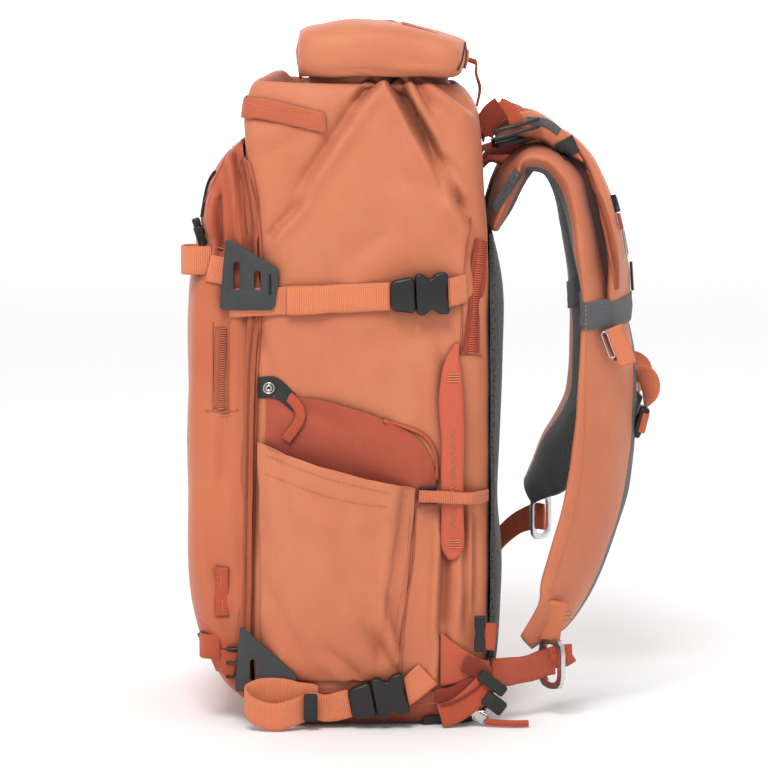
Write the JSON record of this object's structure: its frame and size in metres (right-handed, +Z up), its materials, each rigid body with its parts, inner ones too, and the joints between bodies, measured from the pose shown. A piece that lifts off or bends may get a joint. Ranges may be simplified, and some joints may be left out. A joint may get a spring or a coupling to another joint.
{
  "type": "camera backpack",
  "caption": "Tall roll-top camera backpack with a deep front pocket, open side pockets, lashing plates, buckled compression straps and a padded shoulder harness.",
  "frame": {"origin": "middle of the base, on the surface that the pack stands on", "axes": "+Z up the pack, +Y towards the wearer's back and the harness, -Y to the front pocket, +X to the side with the grab handle"},
  "size_m": [0.3566, 0.4176, 0.6174],
  "materials": {
    "shell_cloth": "matt waterproof nylon, clay orange",
    "heavy_cloth": "heavier nylon of a deeper, redder orange",
    "webbing": "coarsely ribbed nylon webbing",
    "mesh": "padded spacer mesh, charcoal",
    "black_plastic": "satin acetal, black",
    "rubber": "matt, dark grey",
    "lash_plate": "laminated matt sheet, dark grey",
    "sleeve": "woven elastic, grey",
    "aluminium": "anodised, pale silver"
  },
  "bodies": {
    "root": {"main_bag": "shell_cloth", "roll_top": "shell_cloth", "roll_lap": "shell_cloth", "roll_strap": "webbing", "front_band": "heavy_cloth", "front_pocket": "shell_cloth", "base_panel": "heavy_cloth", "corner_foot_front_right": "rubber", "corner_foot_front_left": "rubber", "corner_foot_back_right": "rubber", "corner_foot_back_left": "rubber", "side_pocket_right": "shell_cloth", "side_pocket_left": "shell_cloth", "inner_pocket_right": "heavy_cloth", "inner_pocket_left": "heavy_cloth", "side_handle": "heavy_cloth", "pocket_strap_right": "webbing", "pocket_strap_left": "webbing", "lash_plate_upper_right": "lash_plate", "lash_plate_upper_left": "lash_plate", "compression_web_upper_right": "webbing", "compression_web_upper_left": "webbing", "buckle_male_upper_right": "black_plastic", "buckle_male_upper_left": "black_plastic", "buckle_female_upper_right": "black_plastic", "buckle_female_upper_left": "black_plastic", "anchor_web_upper_right": "webbing", "anchor_web_upper_left": "webbing", "lash_plate_lower_right": "lash_plate", "lash_plate_lower_left": "lash_plate", "compression_web_lower_right": "webbing", "compression_web_lower_left": "webbing", "buckle_male_lower_right": "black_plastic", "buckle_male_lower_left": "black_plastic", "buckle_female_lower_right": "black_plastic", "buckle_female_lower_left": "black_plastic", "anchor_web_lower_right": "webbing", "anchor_web_lower_left": "webbing", "back_panel": "mesh", "haul_loop": "webbing", "shoulder_pad_right": "shell_cloth", "strap_pocket_right": "shell_cloth", "strap_band_right": "sleeve", "lifter_web_right": "webbing", "ladder_lock_right": "black_plastic", "sternum_web_right": "webbing", "sternum_buckle_right": "black_plastic", "hip_wing_right": "heavy_cloth", "shoulder_pad_left": "shell_cloth", "strap_pocket_left": "shell_cloth", "strap_band_left": "sleeve", "lifter_web_left": "webbing", "ladder_lock_left": "black_plastic", "sternum_web_left": "webbing", "sternum_buckle_left": "black_plastic", "hip_wing_left": "heavy_cloth", "ring_buckle_right": "aluminium", "ring_buckle_left": "aluminium", "lower_web_right": "webbing", "lower_web_left": "webbing"}
  },
  "joints": []
}
